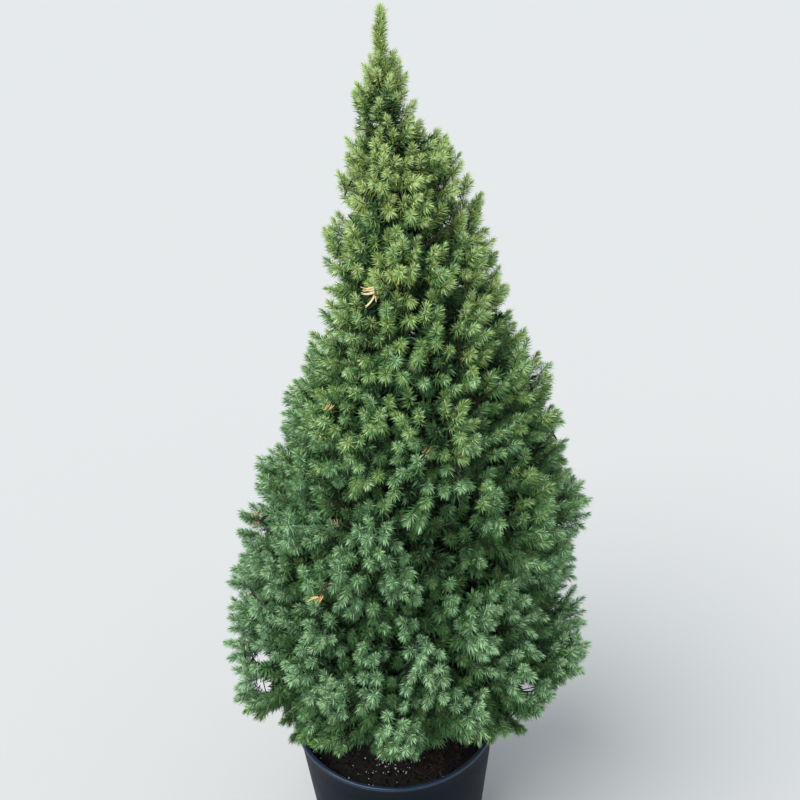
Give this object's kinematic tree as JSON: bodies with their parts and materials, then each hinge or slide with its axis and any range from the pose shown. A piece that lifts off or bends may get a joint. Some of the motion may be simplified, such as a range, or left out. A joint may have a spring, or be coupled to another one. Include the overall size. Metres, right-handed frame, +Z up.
{
  "type": "potted spruce",
  "caption": "Dwarf spruce in a round pot: a dense, slightly lopsided cone of short needles on a trunk with tiers of boughs, over dark soil in a tapered black pot with a rolled lip",
  "frame": {"origin": "centre of the pot's flat underside, where it stands on the ground", "axes": "+Z up along the trunk, +X to the right and +Y away from the viewer of the picture"},
  "size_m": [0.5007, 0.4281, 1.216],
  "materials": {
    "pot_plastic": "black injection moulded plastic with a soft sheen",
    "potting_soil": "dark peat and bark compost with white perlite",
    "bark": "rough grey brown bark",
    "needles": "short stiff green needles"
  },
  "bodies": {
    "root": {"bough_belly_1": "bark", "bough_belly_2": "bark", "bough_belly_3": "bark", "bough_belly_4": "bark", "bough_belly_5": "bark", "bough_lower_1": "bark", "bough_lower_2": "bark", "bough_lower_3": "bark", "bough_lower_4": "bark", "bough_lower_5": "bark", "bough_lower_6": "bark", "bough_middle_1": "bark", "bough_middle_2": "bark", "bough_middle_3": "bark", "bough_middle_4": "bark", "bough_middle_5": "bark", "bough_skirt_1": "bark", "bough_skirt_2": "bark", "bough_skirt_3": "bark", "bough_skirt_4": "bark", "bough_skirt_5": "bark", "bough_skirt_6": "bark", "foliage_belly_1": "needles", "foliage_belly_2": "needles", "foliage_belly_3": "needles", "foliage_belly_4": "needles", "foliage_belly_5": "needles", "foliage_leader": "needles", "foliage_lower_1": "needles", "foliage_lower_2": "needles", "foliage_lower_3": "needles", "foliage_lower_4": "needles", "foliage_lower_5": "needles", "foliage_lower_6": "needles", "foliage_middle_1": "needles", "foliage_middle_2": "needles", "foliage_middle_3": "needles", "foliage_middle_4": "needles", "foliage_middle_5": "needles", "foliage_shoulder_1": "needles", "foliage_shoulder_2": "needles", "foliage_shoulder_3": "needles", "foliage_shoulder_4": "needles", "foliage_skirt_1": "needles", "foliage_skirt_2": "needles", "foliage_skirt_3": "needles", "foliage_skirt_4": "needles", "foliage_skirt_5": "needles", "foliage_skirt_6": "needles", "foliage_top_1": "needles", "foliage_top_2": "needles", "foliage_top_3": "needles", "foliage_upper_1": "needles", "foliage_upper_2": "needles", "foliage_upper_3": "needles", "foliage_upper_4": "needles", "pot": "pot_plastic", "soil": "potting_soil", "trunk": "bark"}
  },
  "joints": []
}
